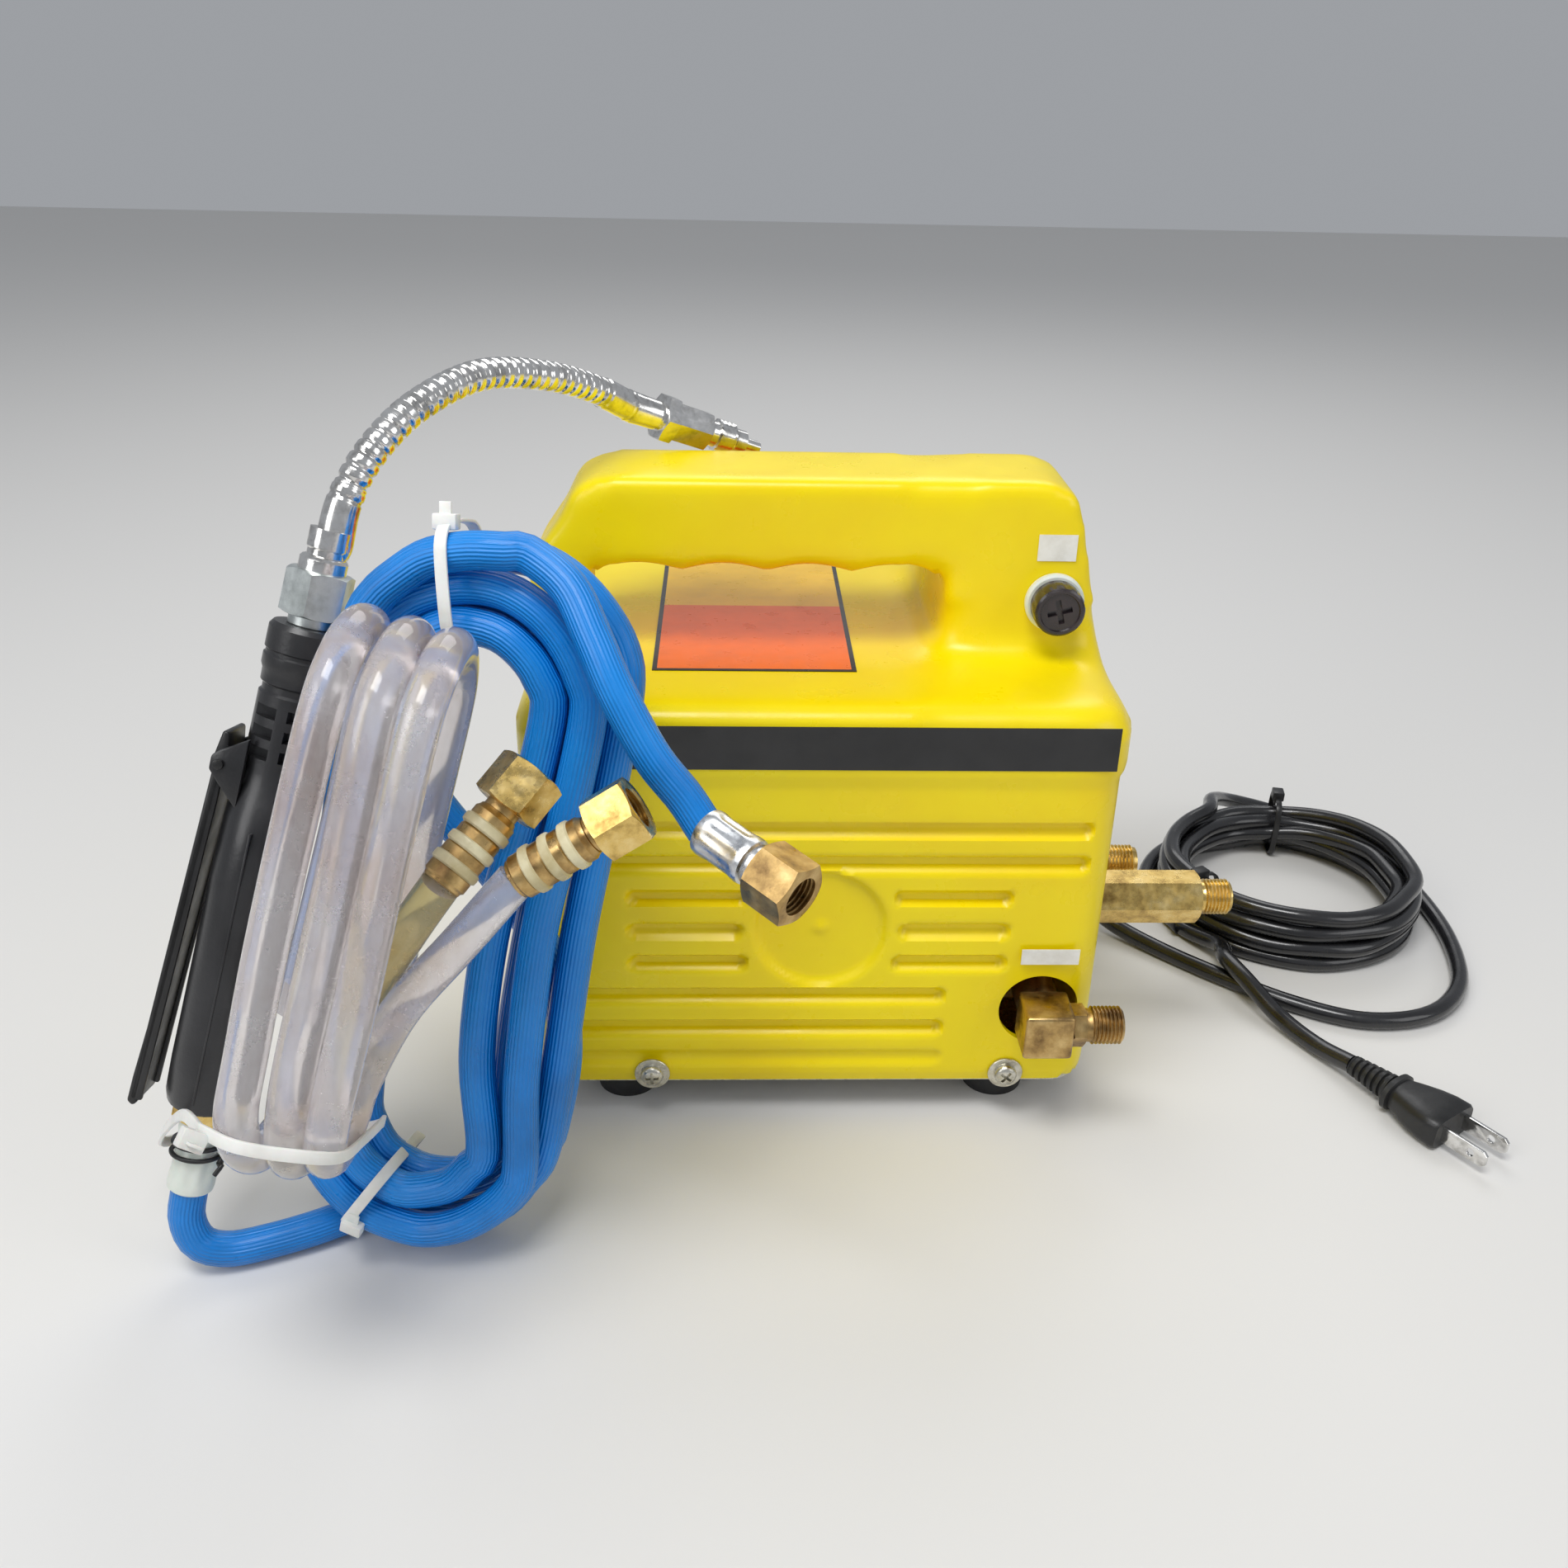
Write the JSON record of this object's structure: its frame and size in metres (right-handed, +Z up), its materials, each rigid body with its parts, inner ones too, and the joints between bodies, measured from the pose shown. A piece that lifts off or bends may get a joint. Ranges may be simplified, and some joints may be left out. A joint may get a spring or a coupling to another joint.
{
  "type": "portable airless sprayer",
  "caption": "Portable electric airless sprayer: plunger pump in a moulded carrying case, with spray gun on a gooseneck, hoses in hanks and a coiled mains lead.",
  "frame": {"origin": "on the floor, under the middle of the four rubber feet", "axes": "+Z up, -Y towards the user at the front, +X to the side with the ports"},
  "size_m": [0.4991, 0.3572, 0.2598],
  "materials": {
    "yellow_plastic": "satin moulded polyethylene",
    "black_decal": "semi-gloss film",
    "label_print": "printed film",
    "zinc_steel": "zinc plated",
    "black_rubber": "moulded rubber",
    "motor_paint": "dark enamel",
    "cast_alloy": "die cast",
    "motor_core": "laminated, varnished",
    "white_plastic": "moulded",
    "brass": "machined, a little tarnished",
    "black_plastic": "satin glass-filled nylon",
    "fuse_glass": "clear",
    "red_plastic": "moulded",
    "bright_plate": "bright nickel plate",
    "crimp_steel": "pale zinc crimp",
    "blue_hose": "ribbed blue cover",
    "clear_vinyl": "clear flexible vinyl, slightly clouded",
    "black_lead": "shiny vinyl"
  },
  "bodies": {
    "unit": {"case_cover": "yellow_plastic", "front_band": "black_decal", "deck_label": "label_print", "outlet_label": "label_print", "fuse_label": "label_print", "base_tray": "zinc_steel", "rubber_feet": "black_rubber", "foot_screws": "zinc_steel", "foot_nuts": "zinc_steel", "case_screws": "zinc_steel", "motor_housing": "motor_paint", "motor_front_cap": "cast_alloy", "motor_rear_cap": "cast_alloy", "stator": "motor_core", "shaft_bearings": "zinc_steel", "motor_saddle": "zinc_steel", "crankcase": "cast_alloy", "plunger_spring": "zinc_steel", "pump_head": "brass", "outlet_elbow": "brass", "outlet_nipple": "brass", "inlet_adaptor": "brass", "bypass_nipple": "brass", "capacitor": "white_plastic", "fuse_holder": "white_plastic", "power_switch": "black_plastic", "gun_body": "black_plastic", "gun_inlet_nut": "brass", "gooseneck_nut": "bright_plate", "gooseneck": "bright_plate", "nozzle_fitting": "bright_plate", "nozzle_tip": "bright_plate", "hose_ferrule": "crimp_steel", "pressure_hose_start": "blue_hose", "pressure_hose_hank": "blue_hose", "pressure_hose_end": "blue_hose", "end_nut": "brass", "clear_hose_hank": "clear_vinyl", "suction_hose_end": "clear_vinyl", "suction_fitting": "brass", "bypass_hose_end": "clear_vinyl", "bypass_fitting": "brass", "mains_lead": "black_lead", "lead_coil": "black_lead", "lead_tail": "black_lead", "plug": "black_lead"},
    "rotor": {"rotor_core": "motor_core", "motor_shaft": "zinc_steel", "cooling_fan": "white_plastic", "eccentric_cam": "zinc_steel", "cam_bearing": "zinc_steel"},
    "plunger_body": {"plunger": "zinc_steel"},
    "inlet_ball": {"inlet_valve_ball": "zinc_steel"},
    "outlet_ball": {"outlet_valve_ball": "zinc_steel"},
    "fuse_slide": {"fuse_carrier": "black_plastic", "fuse_tube": "fuse_glass"},
    "fuse_knob": {"fuse_cap": "black_plastic"},
    "rocker": {"power_rocker": "red_plastic"},
    "lever": {"trigger_lever": "black_plastic"},
    "valve_stem": {"gun_valve_stem": "zinc_steel"}
  },
  "joints": [
    {"name": "motor_spin", "type": "hinge", "parent": "unit", "child": "rotor", "pos_m": [-0.022, -0.04, 0.066], "axis": [0, 1, 0], "continuous": true},
    {"name": "plunger_stroke", "type": "slide", "parent": "unit", "child": "plunger_body", "axis": [1, 0, 0], "range_m": [-0.005, 0], "stiffness_N_per_m": 400, "springref_m": -0.005},
    {"name": "inlet_ball_lift", "type": "slide", "parent": "unit", "child": "inlet_ball", "axis": [-1, 0, 0], "range_m": [0, 0.004]},
    {"name": "outlet_ball_lift", "type": "slide", "parent": "unit", "child": "outlet_ball", "axis": [0, -1, 0], "range_m": [0, 0.004]},
    {"name": "fuse_pull", "type": "slide", "parent": "unit", "child": "fuse_slide", "axis": [0, -1, 0], "range_m": [0, 0.03]},
    {"name": "fuse_cap_turn", "type": "hinge", "parent": "fuse_slide", "child": "fuse_knob", "pos_m": [0.078, -0.044, 0.18], "axis": [0, -1, 0], "range_deg": [0, 90]},
    {"name": "rocker_tilt", "type": "hinge", "parent": "unit", "child": "rocker", "pos_m": [0.066, 0.0815, 0.1215], "axis": [1, 0, 0], "range_deg": [-14, 0]},
    {"name": "trigger_squeeze", "type": "hinge", "parent": "unit", "child": "lever", "pos_m": [-0.17497, -0.11628, 0.15852], "axis": [0, -0.9646, 0.2639], "range_deg": [0, 2.4], "stiffness_Nm_per_rad": 1.5, "springref_deg": -6.88},
    {"name": "valve_stem_lift", "type": "slide", "parent": "unit", "child": "valve_stem", "axis": [0.2554, 0.2551, 0.9326], "range_m": [0, 0.003]}
  ],
  "couplings": [
    {"joint": "valve_stem_lift", "follows": "trigger_squeeze", "m_per_rad": 0.05}
  ]
}
